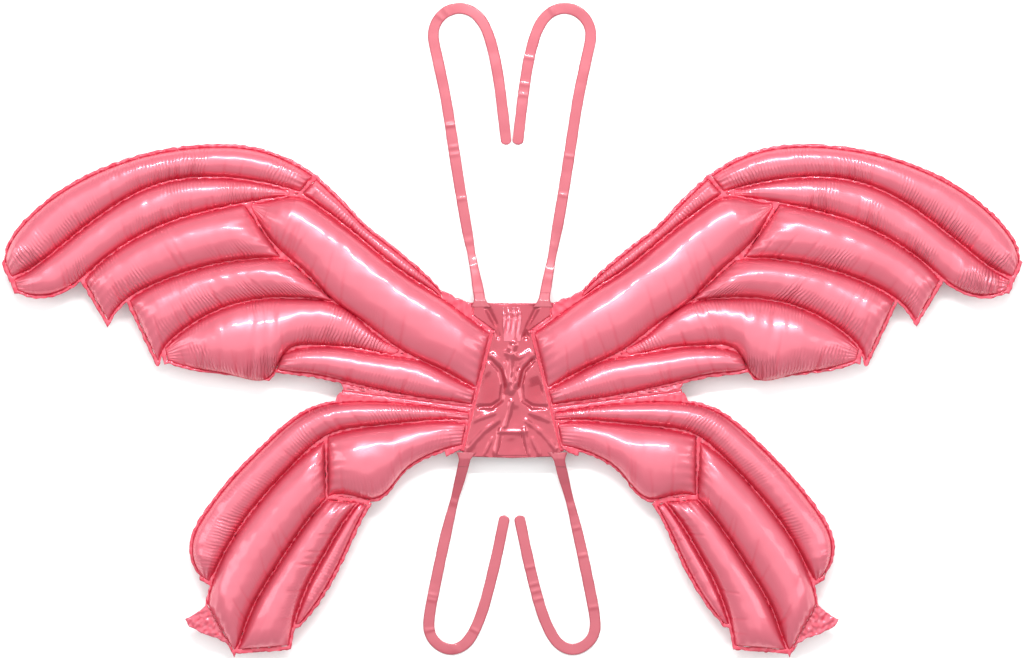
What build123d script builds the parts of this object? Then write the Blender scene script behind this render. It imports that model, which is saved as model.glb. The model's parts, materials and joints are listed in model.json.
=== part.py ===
"""Inflatable fairy wings: one foil balloon in the shape of a pair of butterfly wings.

The wings lie flat on their back film. X runs across the span, Y from the lower wings to the upper ones,
Z up. The origin is under the middle of the wings, on the surface that they lie on. Every wing is a row of
air chambers between heat seals, and all seals lie in one level plane at half the height of the thickest
chamber. The left half (negative X) is described here, and the right half is its mirror image.
"""
import os
from math import hypot, radians, sqrt, tan

from build123d import *

# ---- driving dimensions, mm ----
SEAL_Z = 20.0            # height of the seal plane: half of the thickest chamber
WALL = 0.8               # wall of a chamber
EDGE = 0.8               # height of a chamber's edge, where its two films meet
SEAL_WIDTH = 3.0         # heat seal between two neighbouring chambers
FLANGE = 3.5             # weld that runs round the outside of the chambers
END_FLANGE = 4.5         # weld beyond a chamber's blunt end
WELD_FILM = 0.6          # thickness of the sealed film between and around the chambers
FILM_GAP = 0.25          # the weld film stops this far from a chamber
FOLD_GAP = 1.2           # clearance each side of a fold line
PANEL_FILM = 0.5         # one film of the centre panel
TIE_WIDTH, TIE_FILM = 11.0, 0.8
TIE_Z = 0.5              # a tie's film lies just above the surface
ROUND_END = 0.45         # a chamber's end is rounded over this part of its width
OUTLINE_STEPS = 72       # straight steps along each long edge of a chamber's outline
SMALLEST_FILM = 8.0      # a scrap of weld film with a smaller area than this, in square mm, is left out
STATIONS = (0, 0.03, 0.08, 0.16, 0.28, 0.42, 0.56, 0.70, 0.82, 0.91, 0.965, 1)

# ---- fold lines of the left side, from the panel outwards ----
ROOT_FOLD = ((-20, 64), (-49, -52))
WEB_FOLD = ((-40, -9.5), (-172, 7.5))

# ---- heat seals that two upper chambers share, wing tip first ----
SEAL_1_2 = [(-480, 130), (-450, 153), (-410, 184), (-370, 208), (-330, 219.5), (-290, 221), (-250, 216)]
SEAL_2_3 = [(-430, 120), (-414, 134), (-380, 158), (-340, 177), (-300, 188.5), (-262, 196)]
SEAL_3_4 = [(-386, 98), (-360, 113), (-330, 125), (-300, 133.5), (-260, 139.5)]
SEAL_4_5 = [(-347, 51), (-330, 67), (-300, 85.5), (-270, 96), (-230, 101), (-200, 99.5), (-177, 96)]
SEAL_5_6 = [(-229, 45), (-215, 50), (-190, 52.5), (-160, 50.5), (-130, 44.5)]
SEAL_LEAD_SPAR = [(-190, 190), (-160, 167), (-130, 142), (-100, 120), (-80, 107.5)]
SPAR_UNDERSIDE = [(-160, 87), (-140, 68), (-120, 54)]
SPAR_ROOT = [(-100, 41), (-75, 31), (-50, 17), (-36, 10)]

# ---- heat seals that two lower chambers share, panel first ----
SEAL_RIM_BODY = [(-70, -22), (-110, -25), (-150, -29), (-180, -35)]
SEAL_RIM_BROAD = [(-200, -50), (-230, -77), (-260, -113), (-280, -141), (-295, -170)]
SEAL_BROAD_LONG = [(-186, -101), (-210, -130), (-230, -160), (-249, -190), (-264, -220), (-272, -243)]
SEAL_LONG_NARROW = [(-153, -104), (-170, -126), (-187, -155), (-200, -178), (-210, -201), (-218, -226)]

# ---- chambers of the left side: name, one long edge, the other long edge, height ----
UPPER_CHAMBERS = (
    ("leading_edge_chamber",
     [(-507, 137), (-504, 152), (-489, 174), (-465, 197), (-430, 219), (-390, 236.5), (-345, 248),
      (-300, 252.5), (-260, 250), (-225, 238.5), (-199, 223)],
     [(-500, 121)] + SEAL_1_2 + [(-213, 206)], 27),
    ("wrist_chamber",
     [(-195, 220), (-180, 206), (-163, 189), (-150, 175), (-130, 159), (-110, 143), (-90, 126), (-72, 108)],
     [(-210, 204)] + SEAL_LEAD_SPAR + [(-70, 100)], 16),
    ("second_chamber",
     [(-498, 120)] + SEAL_1_2 + [(-222, 209)],
     [(-494, 107), (-475, 102), (-452, 106)] + SEAL_2_3 + [(-222, 202)], 24),
    ("third_chamber", [(-428, 119)] + SEAL_2_3[1:-1] + [(-269, 195)], [(-403, 77)] + SEAL_3_4 + [(-231, 140)], 38),
    ("fourth_chamber", [(-383, 99)] + SEAL_3_4[1:] + [(-225, 139)], [(-353, 36)] + SEAL_4_5, 36),
    ("fifth_chamber",
     SEAL_4_5 + SPAR_UNDERSIDE + [(-112, 49)],
     [(-344, 37), (-325, 31), (-295, 25), (-262, 19), (-244, 19), (-235, 31)] + SEAL_5_6 + [(-118, 43)], 38.6),
    ("sixth_chamber",
     SEAL_5_6 + SPAR_ROOT,
     [(-236, 28), (-215, 25), (-190, 22), (-172, 17), (-150, 12.5), (-120, 5.5), (-90, 0), (-60, -4), (-41, -7)],
     27),
    ("spar_chamber",
     [(-260, 196), (-240, 199), (-212, 202)] + SEAL_LEAD_SPAR + [(-60, 94), (-40, 79), (-22, 66)],
     [(-261, 190), (-252, 173), (-240, 156), (-222, 139), (-200, 119), (-177, 96)] + SPAR_UNDERSIDE + SPAR_ROOT,
     37.8),
)
LOWER_CHAMBERS = (
    ("rim_chamber",
     [(-43, -12.5), (-60, -10), (-80, -7), (-110, -4), (-150, -2), (-175, -2.5), (-200, -10), (-225, -26),
      (-250, -49), (-280, -80), (-305, -112), (-320, -140), (-320, -158), (-311, -178)],
     [(-43, -23)] + SEAL_RIM_BODY + SEAL_RIM_BROAD + [(-302, -183)], 27),
    ("body_chamber",
     [(-46, -24)] + SEAL_RIM_BODY[:3] + [(-184, -37)],
     [(-50, -48), (-65, -51), (-85, -58), (-103, -69), (-118, -85), (-130, -100), (-150, -100), (-184, -99)], 39.4),
    ("broad_chamber",
     [(-188, -42)] + SEAL_RIM_BROAD + [(-305, -205)],
     SEAL_BROAD_LONG + [(-277, -253)], 39.7),
    ("long_chamber", SEAL_BROAD_LONG + [(-275, -251)], SEAL_LONG_NARROW + [(-222, -247)], 34),
    ("narrow_chamber",
     SEAL_LONG_NARROW,
     [(-144, -108), (-153, -124), (-165, -150), (-177, -175), (-191, -199), (-211, -225)], 15),
)

# ---- flat film pieces of the left side ----
PANEL_LEFT = [(0, 95.5), (-26, 95.5), (-38, 96.5), (-38, 83), (-17, 68), (-19, 63), (-48, -52), (-49, -58),
              (0, -59.5)]
SHOULDER_FILM = [(-74, 110), (-58, 102), (-40, 95.5), (-40, 81), (-62, 93)]
WEB_FILM = [(-171, 15.5), (-168, 9.2), (-108, 1.2), (-108, 4.5), (-150, 10.5)]
HIP_FILM = [(-46, -24), (-49, -50), (-66, -58), (-70, -40)]
LOWER_WEB_FILM = [(-171, 8), (-60, -6), (-60, -12), (-110, -6), (-150, -4), (-178, -4)]
TAIL_FLAP = [(-305.4, -206), (-316, -215), (-327, -221), (-323, -228), (-307, -236), (-292, -241), (-281, -248.5)]
BOTTOM_SEAL = [(-8, -33), (8, -33), (15, -57), (-15, -57)]
VALVE_FILM = [(-7, 60), (7, 60), (7, 14), (2, 6), (-2, 6), (-7, 14)]
INFLATION_TAIL = [(-8.5, 57), (9, 57), (10.5, 91.5), (-10, 91.5)]

# ---- routes of the left ties, from the panel's edge down to the surface and round the hook ----
UPPER_TIE = [
    (-32, 97.8, 20), (-34, 110, 15), (-37, 126, 6), (-41, 146, TIE_Z), (-49, 190, TIE_Z),
    (-58, 246, TIE_Z), (-66, 300, TIE_Z), (-75, 342, TIE_Z), (-80.5, 366, TIE_Z), (-75.5, 381, TIE_Z),
    (-64, 391, TIE_Z), (-48, 393, TIE_Z), (-34, 385.5, TIE_Z), (-24, 369, TIE_Z), (-16, 338, TIE_Z),
    (-10.5, 300, TIE_Z), (-5.5, 255, TIE_Z),
]
LOWER_TIE = [
    (-47, -60.2, 20), (-50, -73, 15), (-54, -88, 6), (-59, -106, TIE_Z), (-68, -143, TIE_Z),
    (-77, -186, TIE_Z), (-84.5, -224, TIE_Z), (-82.5, -239.5, TIE_Z), (-73, -250, TIE_Z), (-60, -254, TIE_Z),
    (-47, -248.5, TIE_Z), (-37.5, -234.5, TIE_Z), (-29, -213, TIE_Z), (-21.5, -185, TIE_Z),
    (-14, -153, TIE_Z), (-7, -118, TIE_Z),
]


def lens(a, b, rise, edge):
    """Upright section across a chamber: two shallow arcs over the chord from a to b, and two short edges."""
    low, high = SEAL_Z - edge / 2, SEAL_Z + edge / 2
    middle = ((a[0] + b[0]) / 2, (a[1] + b[1]) / 2)
    top = ThreePointArc((*a, high), (*middle, high + rise), (*b, high))
    bottom = ThreePointArc((*b, low), (*middle, low - rise), (*a, low))
    return Wire([Line((*a, low), (*a, high)), top, Line((*b, high), (*b, low)), bottom])


def inset(a, b, amount):
    """The chord from a to b, shortened by amount at each end."""
    length = hypot(b[0] - a[0], b[1] - a[1])
    step = ((b[0] - a[0]) / length * amount, (b[1] - a[1]) / length * amount)
    return (a[0] + step[0], a[1] + step[1]), (b[0] - step[0], b[1] - step[1])


def chamber_sections(first, second, height):
    """Chords and rises of a chamber's sections, rounded off towards both of its ends."""
    edge_a, edge_b = Spline(*first), Spline(*second)
    length = (edge_a.length + edge_b.length) / 2
    chords = []
    for t in STATIONS:
        a, b = edge_a @ t, edge_b @ t
        chords.append(inset((a.X, a.Y), (b.X, b.Y), SEAL_WIDTH / 2))
    widths = [hypot(b[0] - a[0], b[1] - a[1]) for a, b in chords]
    widest = max(widths)
    rises = []
    for t, width in zip(STATIONS, widths):
        from_end = min(t, 1 - t) * length / (ROUND_END * widest)
        ramp = sqrt(1 - (1 - min(from_end, 1)) ** 2)
        share = min(1.0, 1.25 * width / widest)
        rises.append(max(0.3, ramp * share * (height - EDGE) / 2))
    return chords, rises


def chamber(first, second, height):
    """An air chamber: a closed shell of film, hollow inside."""
    chords, rises = chamber_sections(first, second, height)
    outer = Solid.make_loft([lens(a, b, rise, EDGE) for (a, b), rise in zip(chords, rises)], False)
    hollow = []
    for (a, b), rise in list(zip(chords, rises))[1:-1]:
        hollow.append(lens(*inset(a, b, 2 * WALL), max(0.15, rise - WALL), EDGE / 4))
    return outer - Solid.make_loft(hollow, False)


def plan_face(first, second, height, grow):
    """A chamber's outline in the seal plane, grown all round by grow."""
    chords, _ = chamber_sections(first, second, height)
    chords = [inset(a, b, -grow) for a, b in chords]
    side_a, side_b = Spline(*[a for a, _ in chords]), Spline(*[b for _, b in chords])
    shares = [k / OUTLINE_STEPS for k in range(OUTLINE_STEPS + 1)]
    outline = [side_a @ share for share in shares] + [side_b @ share for share in reversed(shares)]
    return flat([(point.X, point.Y) for point in outline])


def end_flanges(first, second, height):
    """The weld beyond the two blunt ends of a chamber."""
    chords, _ = chamber_sections(first, second, height)
    flanges = []
    for end, inner in ((chords[0], chords[1]), (chords[-1], chords[-2])):
        a, b = (Vector(*corner) for corner in inset(*end, -FLANGE))
        centre, before = ((Vector(*chord[0]) + Vector(*chord[1])) / 2 for chord in (end, inner))
        ahead = (centre - before).normalized()
        out, back = ahead * END_FLANGE, ahead * -1
        flanges.append(flat([(corner.X, corner.Y) for corner in (a + back, a + out, b + out, b + back)]))
    return flanges


def flat(points):
    """A flat outline with straight edges."""
    return make_face(Polyline(*points, close=True))


def plate(points, low, thickness):
    """A flat film piece with straight edges."""
    return Pos(0, 0, low) * extrude(flat(points), thickness)


def beside(line, side, reach=600):
    """Everything on one side of a fold line and the gap along it. side is +1 or -1."""
    start, along = Vector(*line[0]), (Vector(*line[1]) - Vector(*line[0])).normalized()
    across = Vector(-along.Y, along.X) * side
    base = start - across * FOLD_GAP - along * 30
    corners = [base, base + along * reach, base + (along + across) * reach, base + across * reach]
    return flat([(corner.X, corner.Y) for corner in corners])


def save(shape, name):
    """One STEP file per named piece."""
    export_step(shape, f"parts/{name}.step")


def save_pair(shape, name):
    """The left piece, and its mirror image for the right side."""
    save(shape, f"left_{name}")
    save(mirror(shape, about=Plane.YZ), f"right_{name}")


def weld_film(chambers, extra, cuts):
    """The sealed film round a wing's chambers, without the chambers and without what cuts it off."""
    film = extra
    for _, first, second, height in chambers:
        film = film + plan_face(first, second, height, FLANGE)
        for end in end_flanges(first, second, height):
            film = film + end
    for _, first, second, height in chambers:
        film = film - plan_face(first, second, height, FILM_GAP)
    for cut in cuts:
        film = film - cut
    pieces = [face for face in film.faces() if face.area > SMALLEST_FILM]
    solids = [Pos(0, 0, SEAL_Z - WELD_FILM / 2) * extrude(face, WELD_FILM) for face in pieces]
    return Compound(children=[solid.solid() for solid in solids])


def ribbon(path, across):
    """A tie's film along a level or an upright path. across is level, and square to the path's start."""
    start = Plane(origin=path @ 0, x_dir=across, z_dir=path % 0)
    return sweep(start * Rectangle(TIE_WIDTH, TIE_FILM), path=path)


def bends(route):
    """Radius at each corner of a route: as large as the shorter of its two runs allows."""
    radii = []
    for before, corner, after in zip(route, route[1:], route[2:]):
        run_in, run_out = Vector(corner) - Vector(before), Vector(after) - Vector(corner)
        turn = radians(run_in.get_angle(run_out))
        radii.append(0.45 * min(run_in.length, run_out.length) / tan(turn / 2))
    return radii


def tie(route):
    """A flat tie of film: a stretch that drops from the panel's edge, and a level one with the hook."""
    drop, level = route[:4], route[3:]
    start, down = Vector(*drop[0]), Vector(*drop[3]) - Vector(*drop[0])
    ahead = Vector(down.X, down.Y, 0).normalized()
    points = []
    for point in drop:
        reach = (Vector(*point) - start).dot(ahead)
        points.append((start.X + ahead.X * reach, start.Y + ahead.Y * reach, point[2]))
    points[-1] = drop[3]
    root_path = FilletPolyline(*points, radius=bends(points))
    hook_path = FilletPolyline(*level, radius=bends(level))
    print("tie radii, mm:", [round(radius) for radius in bends(route)])
    root = ribbon(root_path, ahead.cross(Vector(0, 0, 1)))
    hook = ribbon(hook_path, (hook_path % 0).cross(Vector(0, 0, 1)))
    return Compound(children=[root.solid(), hook.solid()]), root_path.length + hook_path.length


def make_wing(group, prefix, extra, cuts):
    """Save a left wing's chambers and its weld film, and their mirror images."""
    for name, first, second, height in group:
        save_pair(chamber(first, second, height), name)
    save_pair(weld_film(group, extra, cuts), f"{prefix}_weld_film")


def make_panel():
    """Centre panel: two films with the flat valve between them, and the fill tail that lies on top."""
    right = [(-x, y) for x, y in reversed(PANEL_LEFT[1:-1])]
    outline = PANEL_LEFT + right
    save(plate(outline, SEAL_Z - 1.5 * PANEL_FILM, PANEL_FILM), "panel_back_film")
    save(plate(VALVE_FILM, SEAL_Z - 0.5 * PANEL_FILM, PANEL_FILM), "valve_film")
    save(plate(outline, SEAL_Z + 0.5 * PANEL_FILM, PANEL_FILM), "panel_front_film")
    save(plate(BOTTOM_SEAL, SEAL_Z + 1.5 * PANEL_FILM, PANEL_FILM), "bottom_seal_patch")
    tail = plate(INFLATION_TAIL, SEAL_Z + 1.5 * PANEL_FILM, WELD_FILM)
    save(tail, "inflation_tail")


def make_ties():
    """The four film ties."""
    for name, route in (("upper_tie", UPPER_TIE), ("lower_tie", LOWER_TIE)):
        shape, length = tie(route)
        print(name, "length", round(length), "volume against section times length",
              round(shape.volume / (length * TIE_WIDTH * TIE_FILM), 2))
        save_pair(shape, name)


def main():
    os.makedirs("parts", exist_ok=True)
    web, flap = flat(WEB_FILM), flat(TAIL_FLAP)
    panel, root_side = flat(PANEL_LEFT), beside(ROOT_FOLD, 1)
    hips = flat(HIP_FILM) + flat(LOWER_WEB_FILM)
    make_wing(UPPER_CHAMBERS, "upper", flat(SHOULDER_FILM), [panel, root_side, beside(WEB_FOLD, 1), web])
    make_wing(LOWER_CHAMBERS, "lower", hips, [root_side, beside(WEB_FOLD, -1), flap])
    save_pair(Pos(0, 0, SEAL_Z - WELD_FILM / 2) * extrude(web, WELD_FILM), "web_film")
    save_pair(Pos(0, 0, SEAL_Z - WELD_FILM / 2) * extrude(flap, WELD_FILM), "tail_flap")
    make_panel()
    make_ties()


if __name__ == "__main__":
    main()
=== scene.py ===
"""Looks of the inflatable fairy wings: blown film chambers, crinkled welds, a creased panel and film ties."""

import heapq
import json

import bmesh
import bpy
import numpy as np
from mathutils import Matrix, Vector

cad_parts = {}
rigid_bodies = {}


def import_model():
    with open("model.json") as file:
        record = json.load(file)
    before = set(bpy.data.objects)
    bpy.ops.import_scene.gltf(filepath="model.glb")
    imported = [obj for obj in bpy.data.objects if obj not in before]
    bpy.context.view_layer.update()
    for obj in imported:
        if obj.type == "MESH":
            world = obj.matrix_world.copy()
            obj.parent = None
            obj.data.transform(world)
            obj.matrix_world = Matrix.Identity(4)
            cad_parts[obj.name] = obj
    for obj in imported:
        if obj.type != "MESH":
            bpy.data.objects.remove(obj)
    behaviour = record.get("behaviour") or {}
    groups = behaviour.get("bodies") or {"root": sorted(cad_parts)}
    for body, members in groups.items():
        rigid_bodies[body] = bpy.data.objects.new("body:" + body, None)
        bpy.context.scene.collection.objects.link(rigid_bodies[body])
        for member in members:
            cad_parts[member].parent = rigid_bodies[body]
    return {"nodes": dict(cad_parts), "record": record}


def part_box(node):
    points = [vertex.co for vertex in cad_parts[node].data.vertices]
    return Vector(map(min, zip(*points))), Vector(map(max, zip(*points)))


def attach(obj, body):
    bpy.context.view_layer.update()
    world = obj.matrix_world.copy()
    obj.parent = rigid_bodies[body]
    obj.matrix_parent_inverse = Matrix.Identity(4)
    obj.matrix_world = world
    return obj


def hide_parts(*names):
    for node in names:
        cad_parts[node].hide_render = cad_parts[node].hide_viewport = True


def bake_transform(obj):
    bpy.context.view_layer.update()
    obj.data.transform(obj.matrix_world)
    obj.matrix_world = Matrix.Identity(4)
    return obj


for leftover in list(bpy.data.objects):
    bpy.data.objects.remove(leftover)
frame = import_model()
bpy.context.view_layer.update()
NODES = frame["nodes"]
BODY_OF = {node: body for body, nodes in frame["record"]["behaviour"]["bodies"].items() for node in nodes}
rng = np.random.default_rng(7)

MM = 0.001
# The seal plane lies midway between the panel's two films, and a chamber's rim rises this far above it.
SEAM_Z = (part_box("panel_back_film")[0][2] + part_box("panel_front_film")[1][2]) / 2
RIM = 0.4 * MM
STEP = 1.3 * MM         # spacing of the grid along a chamber
ACROSS = 39                   # grid points across a chamber
FILM_STEP = 2.0 * MM    # spacing of the cuts in a flat film
HALF_FILM = 0.12 * MM                               # half the thickness that thin film is drawn with
ROUND_END = 0.45           # a chamber's end is rounded over this part of its width
LIP = 0.9 * MM             # how far a chamber's rim reaches into the weld
RIBS_PER_METRE = 290       # fine gathers along a seam
FINE_GATHER, BROAD_GATHER = 0.75 * MM, 1.15 * MM    # heights of the gathers along a seam
HILL, DENT = 0.40 * MM, 0.12 * MM                   # heights of the film's slow and quick unevenness
END_FOLD, CROSS_CREASE = 0.9 * MM, 0.75 * MM        # folds at a blunt end, creases across a chamber

SENSOR_WIDTH = 36
CAMERA_DISTANCE, CAMERA_Y = 3.0, 0.0695
VIEW_WIDTH = 1.024         # what the picture's width shows of the seal plane

UPPER = ("leading_edge_chamber", "wrist_chamber", "second_chamber", "third_chamber", "fourth_chamber",
         "fifth_chamber", "sixth_chamber", "spar_chamber")
LOWER = ("rim_chamber", "body_chamber", "broad_chamber", "long_chamber", "narrow_chamber")

# How much the film of a chamber is gathered along its seams, from 0 to 1.
GATHERED = {"leading_edge_chamber": 1.0, "wrist_chamber": 0.5, "second_chamber": 1.0, "third_chamber": 0.9,
            "fourth_chamber": 1.0, "fifth_chamber": 1.0, "sixth_chamber": 0.3, "spar_chamber": 0.1,
            "rim_chamber": 0.45, "body_chamber": 0.15, "broad_chamber": 0.08, "long_chamber": 0.1,
            "narrow_chamber": 0.1}

# Routes of the left ties, in metres: from the panel's edge down to the surface, and round the hook.
TIE_Z = 0.0005
TIE_WIDTH = 0.011
UPPER_TIE = [
    (-0.032, 0.0978, 0.020), (-0.034, 0.110, 0.015), (-0.037, 0.126, 0.006), (-0.041, 0.146, TIE_Z),
    (-0.049, 0.190, TIE_Z), (-0.058, 0.246, TIE_Z), (-0.066, 0.300, TIE_Z), (-0.075, 0.342, TIE_Z),
    (-0.0805, 0.366, TIE_Z), (-0.0755, 0.381, TIE_Z), (-0.064, 0.391, TIE_Z), (-0.048, 0.393, TIE_Z),
    (-0.034, 0.3855, TIE_Z), (-0.024, 0.369, TIE_Z), (-0.016, 0.338, TIE_Z), (-0.0105, 0.300, TIE_Z),
    (-0.0055, 0.255, TIE_Z),
]
LOWER_TIE = [
    (-0.047, -0.0602, 0.020), (-0.050, -0.073, 0.015), (-0.054, -0.088, 0.006), (-0.059, -0.106, TIE_Z),
    (-0.068, -0.143, TIE_Z), (-0.077, -0.186, TIE_Z), (-0.0845, -0.224, TIE_Z), (-0.0825, -0.2395, TIE_Z),
    (-0.073, -0.250, TIE_Z), (-0.060, -0.254, TIE_Z), (-0.047, -0.2485, TIE_Z), (-0.0375, -0.2345, TIE_Z),
    (-0.029, -0.213, TIE_Z), (-0.0215, -0.185, TIE_Z), (-0.014, -0.153, TIE_Z), (-0.007, -0.118, TIE_Z),
]


# ---------------------------------------------------------------- camera and stage
def make_camera():
    """A long lens straight above the wings, with the whole object and its ties in view."""
    data = bpy.data.cameras.new("camera")
    data.sensor_width = SENSOR_WIDTH
    data.lens = SENSOR_WIDTH * CAMERA_DISTANCE / VIEW_WIDTH
    camera = bpy.data.objects.new("camera", data)
    camera.location = (0, CAMERA_Y, SEAM_Z + CAMERA_DISTANCE)
    bpy.context.scene.collection.objects.link(camera)
    bpy.context.scene.camera = camera


def area_light(name, place, target, size, power):
    data = bpy.data.lights.new(name, "AREA")
    data.shape = "RECTANGLE"
    data.size, data.size_y = size
    data.energy = power
    light = bpy.data.objects.new(name, data)
    light.location = place
    light.rotation_euler = (Vector(target) - Vector(place)).to_track_quat("-Z", "Y").to_euler()
    bpy.context.scene.collection.objects.link(light)
    return light


def make_stage():
    """Pale floor, a bright soft sky, and a long strip light beyond the upper wings for the highlights."""
    bpy.ops.mesh.primitive_plane_add(size=12, location=(0, 0, -0.0005))
    floor = bpy.context.object
    floor.name = "floor"
    material = bpy.data.materials.new("floor")
    material.use_nodes = True
    shader = material.node_tree.nodes["Principled BSDF"]
    shader.inputs["Base Color"].default_value = (0.93, 0.93, 0.93, 1)
    shader.inputs["Roughness"].default_value = 0.9
    shader.inputs["Specular IOR Level"].default_value = 0.1
    floor.data.materials.append(material)
    lights = [
        area_light("overhead", (0, 0.5, 2.6), (0, 0.05, 0), (4.2, 3.0), 40),
        area_light("strip", (0, 1.35, 1.75), (0, 0, 0), (1.5, 0.08), 40),
        area_light("left_fill", (-1.9, 0.4, 1.2), (0, 0, 0), (0.5, 1.6), 9),
        area_light("right_fill", (1.9, 0.4, 1.2), (0, 0, 0), (0.5, 1.6), 9),
    ]
    world = bpy.data.worlds.new("studio")
    bpy.context.scene.world = world
    world.use_nodes = True
    world.node_tree.nodes["Background"].inputs["Color"].default_value = (1, 1, 1, 1)
    world.node_tree.nodes["Background"].inputs["Strength"].default_value = 0.72
    bpy.context.scene.view_settings.view_transform = "Standard"


# ---------------------------------------------------------------- materials
def new_material(name, colour, shade_colour, roughness, metallic, rib_strength, grain_scale):
    """Pink film, mixed towards a deep red as painted shade where the piece's shade values are high, with fine
    ribs and soft wrinkles.
    """
    material = bpy.data.materials.new(name)
    material.use_nodes = True
    nodes, links = material.node_tree.nodes, material.node_tree.links
    shader = nodes["Principled BSDF"]
    shader.inputs["Metallic"].default_value = metallic
    shader.inputs["Coat Weight"].default_value = 0.5
    shader.inputs["Coat Roughness"].default_value = 0.07
    shader.inputs["Specular IOR Level"].default_value = 0.6
    # This attribute holds painted shade, which darkens the base colour below.
    painted_shade = nodes.new("ShaderNodeAttribute")
    painted_shade.attribute_name = "painted_shade"
    where = nodes.new("ShaderNodeTexCoord")
    blotch = nodes.new("ShaderNodeTexNoise")
    blotch.inputs["Scale"].default_value = 9
    blotch.inputs["Detail"].default_value = 3
    links.new(where.outputs["Object"], blotch.inputs["Vector"])
    shift = nodes.new("ShaderNodeMath")
    shift.operation = "MULTIPLY_ADD"
    shift.inputs[1].default_value = 0.16
    shift.inputs[2].default_value = -0.08
    links.new(blotch.outputs["Fac"], shift.inputs[0])
    amount = nodes.new("ShaderNodeMath")
    amount.operation = "ADD"
    amount.use_clamp = True
    links.new(painted_shade.outputs["Fac"], amount.inputs[0])
    links.new(shift.outputs[0], amount.inputs[1])
    # Painted shade: the base colour is mixed towards the deep shade colour by the attribute, plus a small
    # random tone.
    tone_and_shade = nodes.new("ShaderNodeMix")
    tone_and_shade.data_type = "RGBA"
    tone_and_shade.inputs["A"].default_value = (*colour, 1)
    tone_and_shade.inputs["B"].default_value = (*shade_colour, 1)
    links.new(amount.outputs[0], tone_and_shade.inputs["Factor"])
    links.new(tone_and_shade.outputs["Result"], shader.inputs["Base Color"])
    rough = nodes.new("ShaderNodeMapRange")
    rough.inputs["To Min"].default_value = roughness * 0.8
    rough.inputs["To Max"].default_value = roughness * 1.25
    links.new(blotch.outputs["Fac"], rough.inputs["Value"])
    links.new(rough.outputs["Result"], shader.inputs["Roughness"])
    grain = nodes.new("ShaderNodeTexNoise")
    grain.inputs["Scale"].default_value = grain_scale
    grain.inputs["Detail"].default_value = 4
    links.new(where.outputs["Object"], grain.inputs["Vector"])
    soft = nodes.new("ShaderNodeBump")
    soft.inputs["Strength"].default_value = 0.10
    soft.inputs["Distance"].default_value = 0.002
    links.new(grain.outputs["Fac"], soft.inputs["Height"])
    ribs_uv = nodes.new("ShaderNodeUVMap")
    ribs_uv.uv_map = "film"
    parts = nodes.new("ShaderNodeSeparateXYZ")
    links.new(ribs_uv.outputs["UV"], parts.inputs[0])
    sway = nodes.new("ShaderNodeTexNoise")
    sway.inputs["Scale"].default_value = 45
    sway.inputs["Detail"].default_value = 2
    links.new(ribs_uv.outputs["UV"], sway.inputs["Vector"])
    turn = nodes.new("ShaderNodeMath")
    turn.operation = "MULTIPLY"
    turn.inputs[1].default_value = 14
    links.new(sway.outputs["Fac"], turn.inputs[0])
    phase = nodes.new("ShaderNodeMath")
    phase.operation = "MULTIPLY_ADD"
    phase.inputs[1].default_value = RIBS_PER_METRE * 2 * np.pi
    links.new(parts.outputs["X"], phase.inputs[0])
    links.new(turn.outputs[0], phase.inputs[2])
    ribs = nodes.new("ShaderNodeMath")
    ribs.operation = "SINE"
    links.new(phase.outputs[0], ribs.inputs[0])
    pucker = nodes.new("ShaderNodeAttribute")
    pucker.attribute_name = "pucker"
    rib_height = nodes.new("ShaderNodeMath")
    rib_height.operation = "MULTIPLY"
    links.new(ribs.outputs[0], rib_height.inputs[0])
    links.new(pucker.outputs["Fac"], rib_height.inputs[1])
    fine = nodes.new("ShaderNodeBump")
    fine.inputs["Strength"].default_value = rib_strength
    fine.inputs["Distance"].default_value = 0.0006
    links.new(rib_height.outputs[0], fine.inputs["Height"])
    links.new(soft.outputs["Normal"], fine.inputs["Normal"])
    links.new(fine.outputs["Normal"], shader.inputs["Normal"])
    return material


def make_materials():
    # The second colour is the colour of painted shade in seams, creases and hollows.
    pink, shade_colour = (0.60, 0.122, 0.170), (0.56, 0.014, 0.050)
    return {
        "foil": new_material("foil", pink, shade_colour, 0.34, 0.42, 1.0, 60),
        "seal_film": new_material("seal_film", (0.60, 0.125, 0.175), shade_colour, 0.30, 0.35, 0.0, 220),
        # The panel film is a darker copy of the foil: painted shade and painted dark reflection on the slack,
        # sunken panel.
        "panel_film": new_material("panel_film", (0.43, 0.064, 0.094), (0.34, 0.008, 0.028),
                                   0.2, 0.5, 0.0, 90),
        "tie_film": new_material("tie_film", (0.42, 0.072, 0.10), (0.34, 0.03, 0.055), 0.42, 0.15, 0.0, 160),
        "tail_film": new_material("tail_film", (0.62, 0.16, 0.21), shade_colour, 0.12, 0.45, 0.0, 260),
    }


# ---------------------------------------------------------------- numbers along a line
def lengths(points):
    return np.concatenate([[0], np.cumsum(np.linalg.norm(np.diff(points, axis=0), axis=1))])


def smooth(values, window):
    """Running mean along the first axis, with both ends kept."""
    half = window // 2
    if half < 1:
        return values
    start = 2 * values[:1] - values[1:half + 1][::-1]
    end = 2 * values[-1:] - values[-half - 1:-1][::-1]
    padded = np.concatenate([start, values, end])
    total = np.cumsum(np.concatenate([padded[:1] * 0, padded]), axis=0)
    width = 2 * half + 1
    return (total[width:] - total[:-width]) / width


def at_shares(points, shares):
    """Points of a line at the given shares of its length."""
    along = lengths(points)
    return np.stack([np.interp(shares * along[-1], along, points[:, k]) for k in range(points.shape[1])], 1)


def wave(place, wavelength):
    """Smooth random values from -1 to 1 at the given places along a line, changing over the wavelength."""
    spots = (place - place.min()) / wavelength
    knots = rng.uniform(-1, 1, int(spots.max()) + 3)
    low = spots.astype(int)
    part = spots - low
    part = part * part * (3 - 2 * part)
    return knots[low] * (1 - part) + knots[low + 1] * part


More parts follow.
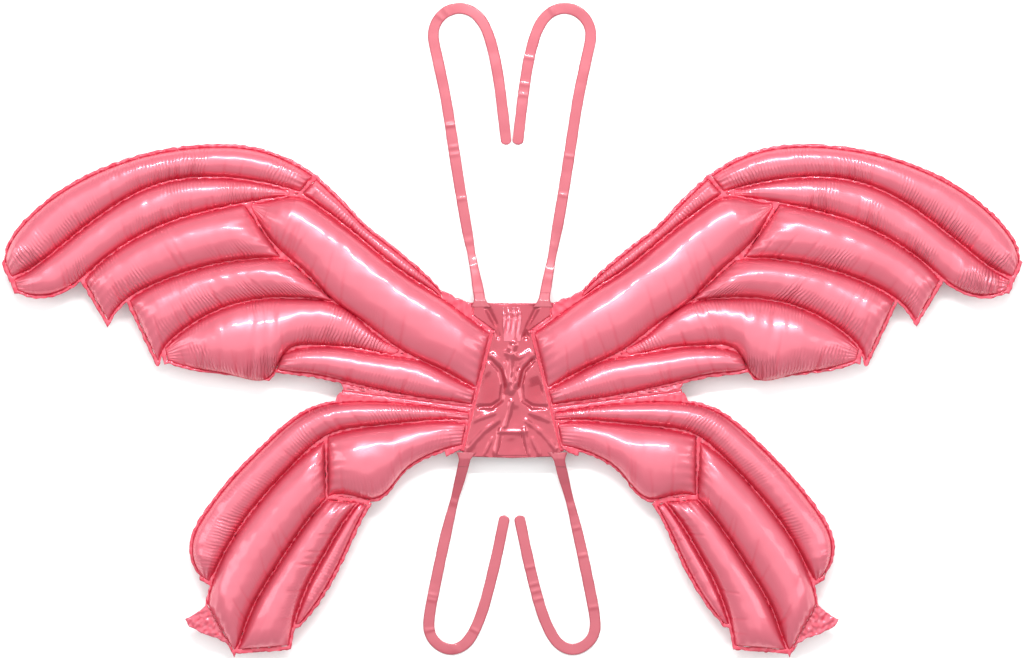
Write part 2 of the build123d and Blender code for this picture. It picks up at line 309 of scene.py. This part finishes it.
def swell(x, y, wavelength, waves=7):
    """Gentle random hills from about -1 to 1 over the plane."""
    total = np.zeros_like(x)
    for _ in range(waves):
        angle = rng.uniform(0, np.pi)
        length = wavelength * rng.uniform(0.7, 1.5)
        along = x * np.cos(angle) + y * np.sin(angle)
        total += np.sin(along * 2 * np.pi / length + rng.uniform(0, 2 * np.pi))
    return total / np.sqrt(waves)


# ---------------------------------------------------------------- making pieces
def add_piece(name, points, faces, material, painted_shade=None, pucker=None, uv=None):
    mesh = bpy.data.meshes.new(name)
    mesh.from_pydata(points.tolist(), [], faces)
    mesh.update()
    if painted_shade is not None:
        mesh.attributes.new("painted_shade", "FLOAT", "POINT").data.foreach_set("value", painted_shade.astype(np.float32))
    if pucker is not None:
        mesh.attributes.new("pucker", "FLOAT", "POINT").data.foreach_set("value", pucker.astype(np.float32))
    if uv is not None:
        corners = np.empty(len(mesh.loops), dtype=np.int32)
        mesh.loops.foreach_get("vertex_index", corners)
        mesh.uv_layers.new(name="film").data.foreach_set("uv", uv[corners].astype(np.float32).ravel())
    mesh.polygons.foreach_set("use_smooth", np.ones(len(mesh.polygons), dtype=bool))
    mesh.materials.append(material)
    piece = bpy.data.objects.new(name, mesh)
    bpy.context.scene.collection.objects.link(piece)
    return piece


def closed_faces(rows, columns):
    """Faces of a top grid, of the bottom grid that comes after it, and of the band round their edges."""
    size = rows * columns
    i, j = np.meshgrid(np.arange(rows - 1), np.arange(columns - 1), indexing="ij")
    corner = (i * columns + j).ravel()
    top = np.stack([corner, corner + columns, corner + columns + 1, corner + 1], 1)
    bottom = top[:, ::-1] + size
    ring = list(range(columns))
    ring += [k * columns + columns - 1 for k in range(1, rows)]
    ring += [(rows - 1) * columns + k for k in range(columns - 2, -1, -1)]
    ring += [k * columns for k in range(rows - 2, 0, -1)]
    ring = np.array(ring)
    after = np.roll(ring, -1)
    band = np.stack([ring, after, after + size, ring + size], 1)
    return np.concatenate([top, bottom, band])


def outward(points, faces):
    """The faces, turned over if the closed mesh has its normals pointing inwards."""
    a, b, c, d = (points[faces[:, k]] for k in range(4))
    volume = np.einsum("ij,ij->i", a, np.cross(b, c)).sum() + np.einsum("ij,ij->i", a, np.cross(c, d)).sum()
    return faces.tolist() if volume > 0 else faces[:, ::-1].tolist()


# ---------------------------------------------------------------- ties
def tie_piece(name, route, material):
    """A limp film ribbon: puckered where it drops, creased along its run, with a rounded end."""
    data = bpy.data.curves.new(name + "_route", "CURVE")
    data.dimensions = "3D"
    data.resolution_u = 24
    spline = data.splines.new("NURBS")
    spline.points.add(len(route) - 1)
    for point, place in zip(spline.points, route):
        point.co = (*place, 1)
    spline.order_u = 3
    spline.use_endpoint_u = True
    guide = bpy.data.objects.new(name + "_route", data)
    bpy.context.scene.collection.objects.link(guide)
    bpy.context.view_layer.update()
    line_mesh = bpy.data.meshes.new_from_object(guide)
    line = np.array([vertex.co for vertex in line_mesh.vertices])
    bpy.data.objects.remove(guide)
    bpy.data.meshes.remove(line_mesh)
    length = lengths(line)[-1]
    rows, columns = int(length / (1.5 * MM)), 9
    path = at_shares(line, np.linspace(0, 1, rows))
    tangent = np.gradient(path, axis=0)
    tangent /= np.linalg.norm(tangent, axis=1)[:, None]
    across = np.stack([tangent[:, 1], -tangent[:, 0], np.zeros(rows)], 1)
    across /= np.linalg.norm(across, axis=1)[:, None]
    along = np.linspace(0, length, rows)
    neck = np.exp(-((along - 48 * MM) / (22 * MM)) ** 2)
    half = TIE_WIDTH / 2 * (1 - 0.26 * neck) * (1 + 0.03 * wave(along, 9 * MM))
    to_end = length - along
    rounding = np.clip(to_end / (4.5 * MM), 0.02, 1)
    half *= np.sqrt(1 - (1 - rounding) ** 2)
    share = np.linspace(-1, 1, columns)
    lift = 0.5 * MM * neck * (1 + wave(along, 5 * MM)) + 0.35 * MM * (1 + wave(along, 14 * MM))
    for spot in rng.uniform(0.2, 0.95, 7):
        lift += 0.9 * MM * np.exp(-((along - spot * length) / (1.6 * MM)) ** 2)
    curl = 0.5 * MM * wave(along, 30 * MM)
    points = path[:, None, :] + across[:, None, :] * (half[:, None] * share)[:, :, None]
    height = lift[:, None] * (1 - 0.4 * share ** 2) + curl[:, None] * share + np.abs(curl[:, None])
    height *= np.clip(along / (6 * MM), 0, 1)[:, None]
    points[:, :, 2] += height
    grid = points.reshape(-1, 3)
    thickness = np.array([0, 0, HALF_FILM])
    points = np.concatenate([grid + thickness, grid - thickness])
    # Painted shade at the puckered neck where the ribbon drops, and along its edges.
    painted_shade = np.tile((0.25 * neck[:, None] + 0.35 * np.abs(share) ** 6).ravel(), 2)
    faces = outward(points, closed_faces(rows, columns))
    piece = add_piece(name, points, faces, material, painted_shade)
    return piece, path, length


def make_ties(material):
    for side, sign in (("left", 1), ("right", -1)):
        for kind, route in (("upper_tie", UPPER_TIE), ("lower_tie", LOWER_TIE)):
            mirrored = [(sign * x, y, z) for x, y, z in route]
            node = f"{side}_{kind}"
            piece, path, length = tie_piece(node + "_ribbon", mirrored, material)
            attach(piece, "root")
            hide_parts(node)
            print("TIE", node, round(length, 4))


def tie_flares(material):
    """Where each tie leaves the panel, its film widens and is welded onto the panel's edge."""
    for side, sign in (("left", 1), ("right", -1)):
        for kind, route in (("upper", UPPER_TIE), ("lower", LOWER_TIE)):
            first, second = (np.array(route[k]) for k in (0, 1))
            away = (second - first) / np.linalg.norm(second - first)
            rows, columns = 17, 9
            along = np.linspace(-7 * MM, 9 * MM, rows)
            share = np.linspace(-1, 1, columns)
            half = (5.4 + 5.0 * np.clip(-along / (7 * MM) * 0.6 + 0.35, 0, 1) ** 1.6) * MM
            path = first + away * np.maximum(along, 0)[:, None]
            path[:, :2] += away[:2] * np.minimum(along, 0)[:, None]
            wide = np.zeros((rows, columns, 3))
            wide[:, :, 0] = half[:, None] * share
            grid = path[:, None, :] + wide
            grid[:, :, 2] += 1.15 * MM + 0.25 * MM * np.sin(share * 9)
            grid[:, :, 0] *= sign
            top = grid.reshape(-1, 3)
            thickness = np.array([0, 0, 0.1 * MM])
            points = np.concatenate([top + thickness, top - thickness])
            # Painted shade, rising towards the flare's edges.
            painted_shade = np.tile(0.2 + 0.4 * np.abs(share) ** 4, 2 * rows)
            faces = outward(points, closed_faces(rows, columns))
            piece = add_piece(f"{side}_{kind}_tie_weld", points, faces, material, painted_shade)
            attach(piece, "root")


# ---------------------------------------------------------------- chamber outlines from the frame
def farthest(links, places, start):
    """The point of a network that is farthest from start along its links, and the way there."""
    best = {start: 0.0}
    came = {}
    queue = [(0.0, start)]
    while queue:
        cost, here = heapq.heappop(queue)
        if cost > best[here]:
            continue
        for there in links[here]:
            total = cost + float(np.linalg.norm(places[here] - places[there]))
            if total < best.get(there, 1e9):
                best[there] = total
                came[there] = here
                heapq.heappush(queue, (total, there))
    end = max(best, key=best.get)
    way = [end]
    while way[-1] in came:
        way.append(came[way[-1]])
    return way, best


def long_edges(node):
    """A chamber's two long edges, from its CAD mesh: the outer or upper one first, and both root first."""
    mesh = NODES[node].data
    points = np.array([vertex.co for vertex in mesh.vertices])
    index_of, keys, places = {}, {}, []
    for i in np.flatnonzero(np.abs(points[:, 2] - SEAM_Z - RIM) < 0.002 * MM):
        key = tuple(np.round(points[i, :2], 6))
        if key not in keys:
            keys[key] = len(places)
            places.append(points[i, :2])
        index_of[int(i)] = keys[key]
    links = {k: set() for k in range(len(places))}
    for edge in mesh.edges:
        a, b = edge.vertices
        if a in index_of and b in index_of and index_of[a] != index_of[b]:
            links[index_of[a]].add(index_of[b])
            links[index_of[b]].add(index_of[a])
    runs, seen = [], set()
    for start in links:
        if start in seen:
            continue
        way, reached = farthest(links, places, start)
        seen.update(reached)
        way, _ = farthest(links, places, way[0])
        line = np.array([places[k] for k in way])
        runs.append(line if abs(line[0, 0]) < abs(line[-1, 0]) else line[::-1])
    runs.sort(key=lambda run: -lengths(run)[-1])
    return sorted(runs[:2], key=lambda run: -(0.6 * np.abs(run[:, 0]).mean() + 0.8 * run[:, 1].mean()))


# ---------------------------------------------------------------- chambers
def inner_bend(line, chord, window):
    """How tightly a long edge bends round a centre outside the chamber, where the film bunches up."""
    tangent = np.gradient(line, axis=0)
    speed = np.linalg.norm(tangent, axis=1)[:, None]
    tangent /= speed
    bend = np.gradient(tangent, axis=0) / speed
    inner = smooth(-(bend * chord).sum(1), window)
    return np.clip(inner * 55 * MM, 0, 1.3)


def gathers(along, distance, strength, wavelength, reach):
    """Ribs that run square from a seam into the film, bunched in clusters, strongest just off the seam."""
    cluster = np.clip(wave(along, 8 * wavelength) * 0.9 + 0.35, 0, 1) * strength
    ribs = wave(along, wavelength) + 0.5 * wave(along, wavelength * 0.6)
    lean = 0.25 * wave(along, 40 * MM)
    place = along[:, None] + lean[:, None] * distance
    moved = np.interp(place.ravel(), along, ribs).reshape(place.shape)
    near = distance / reach
    return cluster[:, None] * moved * near * np.exp(1 - near), cluster


def chamber_piece(node, material):
    edge_a, edge_b = long_edges(node)
    low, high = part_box(node)
    half_height = (high[2] - low[2]) / 2 - RIM
    mean_length = (lengths(edge_a)[-1] + lengths(edge_b)[-1]) / 2
    rows = max(24, int(mean_length / STEP))
    even = np.linspace(0, 1, rows)
    shares = 0.72 * even + 0.28 * (1 - np.cos(np.pi * even)) / 2
    window = max(3, int(9 * MM / STEP))
    side_a, side_b = smooth(at_shares(edge_a, shares), window), smooth(at_shares(edge_b, shares), window)
    side_a[[0, -1]], side_b[[0, -1]] = edge_a[[0, -1]], edge_b[[0, -1]]
    chord = side_b - side_a
    width = np.linalg.norm(chord, axis=1)
    chord /= width[:, None]
    middle = (side_a + side_b) / 2
    along = lengths(middle)
    widest = width.max()
    from_end = np.minimum(along, along[-1] - along)
    ramp = np.sqrt(1 - (1 - np.clip(from_end / (ROUND_END * widest), 0, 1)) ** 2)
    rise = np.maximum(0.3 * MM, ramp * np.minimum(1, 1.25 * smooth(width, window) / widest) * half_height)
    rise /= rise.max() / half_height
    if "spar" in node:
        # The spar is slimmer at its root, where the folded wings pass the lifted tail.
        rise *= 1 - 0.22 * np.exp(-(along / (30 * MM)) ** 2)
    across = -np.cos(np.linspace(0, np.pi, ACROSS))
    from_a = (1 + across) / 2 * width[:, None]
    from_b = (1 - across) / 2 * width[:, None]
    plan = middle[:, None, :] + chord[:, None, :] * (across * width[:, None] / 2)[:, :, None]
    profile = np.maximum(0, 1 - across ** 2) ** 0.60
    plan[:, 0] -= chord * LIP
    plan[:, -1] += chord * LIP
    body = rise[:, None] * profile
    strength_a = 0.15 + inner_bend(side_a, -chord, 4 * window)
    strength_b = 0.45 + inner_bend(side_b, chord, 4 * window)
    inside = np.minimum(1, body / (4 * MM))
    gathered = GATHERED[node.split("_", 1)[1]]
    sheets, marks = [], []
    for sign in (1, -1):
        fine_a, cluster_a = gathers(along, from_a, strength_a, 3.6 * MM, 4.5 * MM)
        fine_b, cluster_b = gathers(along, from_b, strength_b, 3.6 * MM, 4.5 * MM)
        broad_a, _ = gathers(along, from_a, strength_a - 0.1, 9.5 * MM, 10 * MM)
        broad_b, _ = gathers(along, from_b, strength_b - 0.15, 9.5 * MM, 10 * MM)
        hills = swell(plan[:, :, 0], plan[:, :, 1], 55 * MM)
        dents = swell(plan[:, :, 0], plan[:, :, 1], 17 * MM)
        end_fade = np.exp(-from_end / (11 * MM)) * np.minimum(1, from_end / (3 * MM))
        lanes = max(3, width.max() / (5.5 * MM))
        folds = np.sin(across * lanes * np.pi / 2 + rng.uniform(0, 6)) * end_fade[:, None]
        change = FINE_GATHER * (fine_a + fine_b) + BROAD_GATHER * (broad_a + broad_b)
        change *= 0.35 + 0.65 * gathered
        change += HILL * hills + DENT * dents + END_FOLD * folds
        lines = np.zeros_like(body)
        for spot in rng.uniform(0.05, 0.95, int(along[-1] / (22 * MM))):
            gap = along[:, None] - spot * along[-1] - rng.normal(0, 0.12) * from_b
            run = np.clip(1 - from_b / (rng.uniform(0.3, 0.65) * width[:, None]), 0, 1)
            lines += np.exp(-(gap / (1.3 * MM)) ** 2) * np.sqrt(run)
        change -= CROSS_CREASE * lines
        height = body + change * inside
        height = np.maximum(height, HALF_FILM)
        height[:, [0, -1]] = HALF_FILM
        height[[0, -1], :] = HALF_FILM
        z = SEAM_Z + sign * height
        z = np.maximum(z, 0.1 * MM)
        sheets.append(np.concatenate([plan, z[:, :, None]], 2).reshape(-1, 3))
        # Painted shade: deep red along the seams and blunt ends, in the hollows of the gathers and along the
        # cross creases.
        edge_distance = np.minimum(np.minimum(from_a, from_b), from_end[:, None] + 0.6 * MM)
        painted_shade = 0.95 * np.exp(-(edge_distance / (2.6 * MM)) ** 1.3)
        painted_shade += np.clip(-0.16 * (fine_a + fine_b + broad_a + broad_b), 0, 0.3) + 0.3 * lines
        reach_b = 17 * MM * (1 + 0.3 * wave(along, 12 * MM))[:, None]
        pucker = np.clip(1.1 * cluster_a[:, None] * np.exp(-(from_a / (8 * MM)) ** 2)
                         + 2.0 * cluster_b[:, None] * np.exp(-(from_b / reach_b) ** 4), 0, 1)
        pucker = gathered * pucker * np.clip(from_end / (14 * MM) - 0.3, 0, 1)[:, None]
        marks.append((np.clip(painted_shade, 0, 1).ravel(), pucker.ravel()))
    points = np.concatenate(sheets)
    painted_shade = np.concatenate([mark[0] for mark in marks])
    pucker = np.concatenate([mark[1] for mark in marks])
    flat = np.stack([np.repeat(along[:, None], ACROSS, 1), from_a], 2).reshape(-1, 2)
    faces = outward(points, closed_faces(rows, ACROSS))
    uv = np.concatenate([flat, flat])
    piece = add_piece(node + "_film", points, faces, material, painted_shade, pucker, uv)
    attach(piece, BODY_OF[node])
    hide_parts(node)


# ---------------------------------------------------------------- flat films
def cut_fine(mesh, step):
    """Cuts a flat piece along an even grid, so that it can be creased."""
    work = bmesh.new()
    work.from_mesh(mesh)
    bmesh.ops.remove_doubles(work, verts=work.verts, dist=0.002 * MM)
    bmesh.ops.dissolve_limit(work, angle_limit=0.01, verts=work.verts, edges=work.edges)
    low = [min(vertex.co[k] for vertex in work.verts) for k in range(2)]
    high = [max(vertex.co[k] for vertex in work.verts) for k in range(2)]
    for k in range(2):
        normal = Vector((1, 0, 0)) if k == 0 else Vector((0, 1, 0))
        for place in np.arange(low[k] + step / 2, high[k], step):
            everything = work.verts[:] + work.edges[:] + work.faces[:]
            bmesh.ops.bisect_plane(work, geom=everything, plane_co=normal * place, plane_no=normal,
                                   dist=0.01 * MM)
    bmesh.ops.triangulate(work, faces=work.faces[:])
    done = bpy.data.meshes.new("cut")
    work.to_mesh(done)
    work.free()
    return done


def film_piece(node, material, relief, shade, step, shift=0.0, narrow=1.0):
    """A CAD film cut fine, raised by relief(x, y), given painted shade by shade(x, y) and pulled about by
    shift.
    """
    mesh = cut_fine(NODES[node].data, step)
    points = np.array([vertex.co for vertex in mesh.vertices])
    faces = [tuple(face.vertices) for face in mesh.polygons]
    bpy.data.meshes.remove(mesh)
    moved = points.copy()
    moved[:, 2] += relief(points[:, 0], points[:, 1])
    moved[:, 0] *= narrow
    if shift:
        moved[:, 0] += shift * swell(points[:, 0], points[:, 1], 8 * MM)
        moved[:, 1] += shift * swell(points[:, 0], points[:, 1], 8 * MM)
    # Painted shade from shade(x, y).
    painted_shade = np.clip(shade(points[:, 0], points[:, 1]), 0, 1)
    piece = add_piece(node + "_crinkled", moved, faces, material, painted_shade)
    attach(piece, BODY_OF[node])
    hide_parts(node)
    return piece


def ridge(x, y, line, width, height):
    """A fold along a line of points: a soft ridge of the given half width and height, in millimetres."""
    best = np.full(x.shape, 1e9)
    for (ax, ay), (bx, by) in zip(line[:-1], line[1:]):
        dx, dy = bx - ax, by - ay
        share = np.clip(((x - ax) * dx + (y - ay) * dy) / (dx * dx + dy * dy), 0, 1)
        best = np.minimum(best, np.hypot(x - ax - share * dx, y - ay - share * dy))
    return height * np.exp(-(best / width) ** 2)


# Folds of the slack panel, in millimetres: points of the fold, half width, height. The first ones are
# single, and the others come in pairs, one on each side.
MIDDLE_FOLDS = (
    ([(1, 53), (-2, 40), (-3, 20), (-1, 8)], 3.4, 3.2),
    ([(7, 28), (4, 13)], 2.0, 1.8),
    ([(-1, -3), (-3, -14), (-7, -28)], 2.2, 2.0),
    ([(-13, -33), (13, -33)], 1.6, 1.4),
    ([(-6, 46), (8, 41), (17, 47)], 2.6, 1.5),
)
PAIRED_FOLDS = (
    ([(34, 42), (21, 38), (12, 28), (9, 14), (11, -2), (20, -8), (38, -9)], 2.0, -2.4),
    ([(31, 47), (20, 43), (9, 33), (5, 16)], 3.0, 2.0),
    ([(12, -30), (17, -56)], 1.8, 1.8),
    ([(14, -22), (30, -34), (44, -50)], 2.4, 1.5),
    ([(18, -14), (40, -22)], 2.6, 1.3),
    ([(14, 62), (17, 74), (25, 90)], 2.6, -2.4),
    ([(34, 92), (27, 80), (20, 70)], 2.0, 1.8),
    ([(20, -40), (28, -56)], 1.8, 1.2),
)


def make_panel(shaded_panel_material, tail_material):
    """The slack centre panel: a ridge down its middle, two hollows beside it, folds towards its corners."""
    start = rng.bit_generator.state

    def relief(x, y):
        rng.bit_generator.state = start
        x_mm, y_mm = x / MM, y / MM
        total = np.zeros_like(x)
        for line, width, height in MIDDLE_FOLDS:
            total += ridge(x_mm, y_mm, line, width, height)
        for line, width, height in PAIRED_FOLDS:
            total += ridge(np.abs(x_mm), y_mm, line, width, height)
        total -= 1.2 * np.exp(-((np.abs(x_mm) - 23) / 9) ** 4 - ((y_mm - 8) / 15) ** 4)
        total += 0.55 * swell(x, y, 26 * MM) + 0.08 * swell(x, y, 11 * MM)
        half_width = np.interp(y_mm, [-60, -52, 63, 70, 96], [49, 48, 20, 18, 36])
        border = np.clip((half_width - np.abs(x_mm)) / 5, 0, 1) * np.clip((y_mm + 60) / 5, 0, 1)
        border *= np.clip((96 - y_mm) / 4, 0.1, 1)
        return total * MM * border

    def shade(x, y):
        x_mm, y_mm = x / MM, y / MM
        # Painted shade: a base amount, darker patches by the panel's narrow upper part and in the two
        # hollows, and darker where the relief is low.
        dark = 0.25 + 0.35 * np.exp(-((np.abs(x_mm) - 19) / 8) ** 2 - ((y_mm - 70) / 12) ** 2)
        dark += 0.25 * np.exp(-((np.abs(x_mm) - 22) / 9) ** 4 - ((y_mm - 6) / 17) ** 4)
        return dark - 0.08 * relief(x, y) / MM

    for node in ("panel_back_film", "valve_film", "panel_front_film", "bottom_seal_patch"):
        film_piece(node, shaded_panel_material, relief, shade, FILM_STEP * 0.75)

    def tail_relief(x, y):
        folds = 0.9 * np.sin(x / MM * 1.15 + 1.9 * np.sin(y / MM * 0.14)) + 0.35 * np.sin(x / MM * 2.7 + 1)
        folds += 0.5 * np.sin(y / MM * 0.9 + np.sin(x / MM * 0.5)) * np.clip((y / MM - 78) / 4, 0, 1)
        return folds * MM * np.clip((y / MM - 60) / 10, 0, 1)

    # The tail gets painted shade in the valleys of its folds and less on their crests.
    film_piece("inflation_tail", tail_material, tail_relief,
               lambda x, y: 0.25 - 0.5 * tail_relief(x, y) / MM, FILM_STEP * 0.5, narrow=0.95)


def crinkle(x, y):
    """The small random crinkles of film that has been heat sealed."""
    return (0.10 * swell(x, y, 4.2 * MM) + 0.10 * swell(x, y, 8 * MM)) * MM


def make_films(seal_material):
    for side in ("left", "right"):
        for kind in ("upper_weld_film", "lower_weld_film"):
            # Painted shade: the weld films lie mostly deep red between the chambers, blotched at random.
            film_piece(f"{side}_{kind}", seal_material, crinkle,
                       lambda x, y: 0.66 + 0.25 * swell(x, y, 7 * MM), FILM_STEP, 0.45 * MM)
        for kind in ("web_film", "tail_flap"):
            # Painted shade over the web films and tail flaps, blotched at random.
            film_piece(f"{side}_{kind}", seal_material,
                       lambda x, y: 4 * crinkle(x, y), lambda x, y: 0.35 + 0.3 * swell(x, y, 6 * MM),
                       FILM_STEP * 0.75, 0.4 * MM)


def fold_strip(name, start, end, half, parent, child, material):
    """The crease where two bodies meet: a strip of film across the fold line."""
    start, end = np.array(start) * MM, np.array(end) * MM
    length = np.linalg.norm(end - start)
    rows, columns = max(8, int(length / (2 * MM))), 9
    direction = (end - start) / length
    across = np.array([direction[1], -direction[0]])
    if across[0] * start[0] < 0:
        across = -across
    along = np.linspace(0, 1, rows)
    spread = np.linspace(-1, 1, columns)
    line = start + direction * length * along[:, None]
    plan = line[:, None, :] + across * (spread * half * MM)[None, :, None]
    groove = -0.5 * MM * np.exp(-(spread / 0.35) ** 2)
    groove = groove + 0.15 * MM * swell(plan[:, :, 0], plan[:, :, 1], 7 * MM)
    z = np.full((rows, columns), SEAM_Z) + groove
    top = np.concatenate([plan, z[:, :, None]], 2).reshape(-1, 3)
    thickness = np.array([0, 0, HALF_FILM])
    points = np.concatenate([top + thickness, top - thickness])
    # Painted shade, darkest in the groove along the fold line.
    painted_shade = np.tile(0.55 + 0.4 * np.exp(-(spread / 0.4) ** 2), 2 * rows)
    faces = outward(points, closed_faces(rows, columns))
    piece = add_piece(name, points, faces, material, painted_shade)
    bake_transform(piece)


def make_folds(material):
    for side, sign in (("left", 1), ("right", -1)):
        root = ((sign * -18.8, 68.8), (sign * -49.3, -53.2))
        web = ((sign * -40, -9.5), (sign * -170, 7.2))
        fold_strip(f"{side}_root_fold", *root, 2.8, "root", f"{side}_wing", material)
        fold_strip(f"{side}_shoulder_fold", (sign * -39, 96), (sign * -39, 81.5), 2.4, "root", f"{side}_wing",
                   material)
        fold_strip(f"{side}_armpit_fold", (sign * -40, 84.5), (sign * -17, 66.5), 2.6, "root",
                   f"{side}_wing", material)
        fold_strip(f"{side}_web_fold", *web, 2.2, f"{side}_lower_wing", f"{side}_wing", material)


# ---------------------------------------------------------------- everything
make_camera()
materials = make_materials()
make_ties(materials["tie_film"])
tie_flares(materials["tie_film"])
make_stage()
for side in ("left", "right"):
    for chamber in UPPER + LOWER:
        chamber_piece(f"{side}_{chamber}", materials["foil"])
make_panel(materials["panel_film"], materials["tail_film"])
make_films(materials["seal_film"])
make_folds(materials["seal_film"])

bpy.context.view_layer.update()
